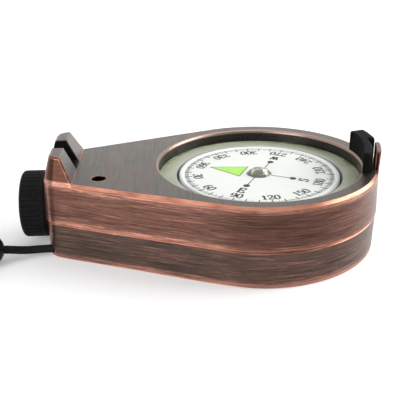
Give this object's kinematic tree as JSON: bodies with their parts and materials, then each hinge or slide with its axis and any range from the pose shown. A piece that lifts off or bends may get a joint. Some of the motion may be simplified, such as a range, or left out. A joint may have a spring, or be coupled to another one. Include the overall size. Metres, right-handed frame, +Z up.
{
  "type": "sighting compass and clinometer",
  "caption": "Teardrop metal sighting compass and clinometer with dial window, ribbed focusing eyepiece, notch and blade sights, and cord.",
  "frame": {"origin": "on the underside, below the middle of the instrument without its cord", "axes": "+X from the eyepiece to the wide round end, +Z up through the dial window"},
  "size_m": [0.1317, 0.0722, 0.026],
  "materials": {
    "case_metal": "brushed and anodised, copper brown on the sides",
    "black_moulding": "fine satin",
    "ring_black": "satin, ribbed",
    "clear_acrylic": "polished",
    "pale_green": "satin",
    "card_white": "printed, satin",
    "hub_clear": "polished",
    "jewel_red": "polished",
    "steel": "turned",
    "dark_steel": "blackened",
    "brass": "turned",
    "rubber_black": "matte",
    "lens_glass": "coated",
    "cord_black": "braided",
    "bead_black": "smooth"
  },
  "bodies": {
    "case": {"upper_housing": "case_metal", "lower_housing": "case_metal", "case_gasket": "rubber_black", "case_screws": "steel", "trim_screw": "dark_steel", "compass_window": "clear_acrylic", "capsule_ring": "pale_green", "compass_capsule": "clear_acrylic", "capsule_seal": "rubber_black", "compass_pivot": "steel", "clinometer_window": "clear_acrylic", "clinometer_seal": "rubber_black", "clinometer_capsule": "clear_acrylic", "capsule_pad": "rubber_black", "clinometer_jewels": "jewel_red", "eyepiece_barrel": "black_moulding", "barrel_seal": "rubber_black", "ring_clip": "steel", "index_frame": "dark_steel", "rear_sight_insert": "black_moulding", "front_sight": "black_moulding", "lanyard_pin": "steel", "lanyard_cord": "cord_black", "lanyard_bead": "bead_black", "lanyard_coil": "cord_black", "lanyard_knot": "cord_black"},
    "card": {"compass_card": "card_white", "card_hub": "hub_clear", "card_jewel": "jewel_red", "card_magnets": "dark_steel"},
    "disc": {"clinometer_disc": "card_white", "clinometer_weight": "brass", "clinometer_axle": "steel"},
    "ring": {"focus_ring": "ring_black"},
    "cell": {"lens_cell": "dark_steel", "focus_pin": "steel", "eyepiece_lens": "lens_glass", "lens_retainer": "dark_steel"}
  },
  "joints": [
    {"name": "card_spin", "type": "hinge", "parent": "case", "child": "card", "pos_m": [0.01517, 0, 0.0157], "axis": [0, 0, 1], "continuous": true},
    {"name": "disc_spin", "type": "hinge", "parent": "case", "child": "disc", "pos_m": [0.01517, 0, 0.005], "axis": [0, 0, 1], "continuous": true},
    {"name": "focus_turn", "type": "hinge", "parent": "case", "child": "ring", "pos_m": [-0.04183, 0, 0.0102], "axis": [1, 0, 0], "range_deg": [-62, 62]},
    {"name": "focus_slide", "type": "slide", "parent": "case", "child": "cell", "axis": [1, 0, 0], "range_m": [-0.0008, 0.0008]}
  ],
  "couplings": [
    {"joint": "focus_turn", "follows": "focus_slide", "rad_per_m": -1309}
  ]
}
